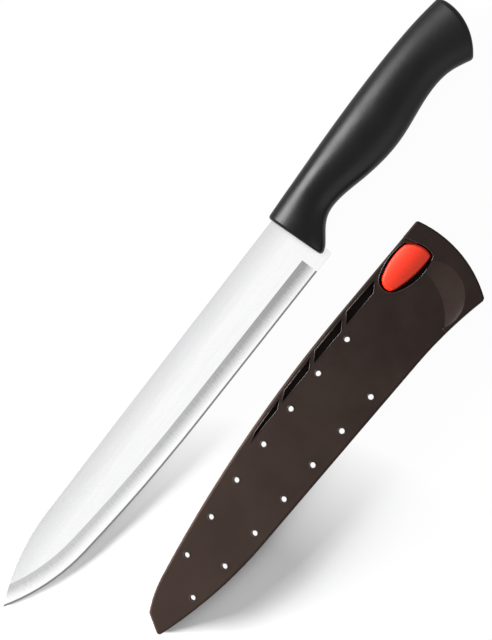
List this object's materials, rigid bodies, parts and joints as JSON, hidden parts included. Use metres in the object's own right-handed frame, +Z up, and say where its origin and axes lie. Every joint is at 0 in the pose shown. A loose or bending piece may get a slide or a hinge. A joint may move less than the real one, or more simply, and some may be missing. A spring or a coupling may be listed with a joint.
{
  "type": "carving knife with sharpening sheath",
  "caption": "Carving knife with a flat-ground curved-point blade in a moulded grip, lying beside its slim vented sheath with a sprung sharpener in the mouth.",
  "frame": {"origin": "centre of the bounding box's bottom face: the table that knife and sheath lie on", "axes": "+X along the knife from the handle to the tip, +Y from the knife towards the sheath, +Z up from the table"},
  "size_m": [0.3198, 0.0964, 0.0219],
  "materials": {
    "blade_steel": "satin flats with cross-brushed grind",
    "handle_plastic": "smooth satin black",
    "sheath_plastic": "matte dark brown-black",
    "carrier_plastic": "glossy orange-red",
    "ceramic": "fine matte ceramic",
    "pin_steel": "plain bright steel"
  },
  "bodies": {
    "knife": {"blade": "blade_steel", "handle": "handle_plastic"},
    "sheath": {"sheath_front_shell": "sheath_plastic", "sheath_back_shell": "sheath_plastic", "carrier_pivot_pin": "pin_steel", "carrier_leaf_spring": "pin_steel"},
    "carrier": {"carrier": "carrier_plastic", "hone_rod_front": "ceramic", "hone_rod_back": "ceramic"}
  },
  "joints": [
    {"name": "sheath_slide", "type": "slide", "parent": "knife", "child": "sheath", "axis": [0.9989, -0.0464, 0], "range_m": [0, 0.2]},
    {"name": "carrier_swing", "type": "hinge", "parent": "sheath", "child": "carrier", "pos_m": [-0.07489, 0.00945, 0.0042], "axis": [0, 0, -1], "range_deg": [0, 2.5], "stiffness_Nm_per_rad": 0.6, "springref_deg": -5.73, "deforming": ["carrier_leaf_spring"]}
  ]
}
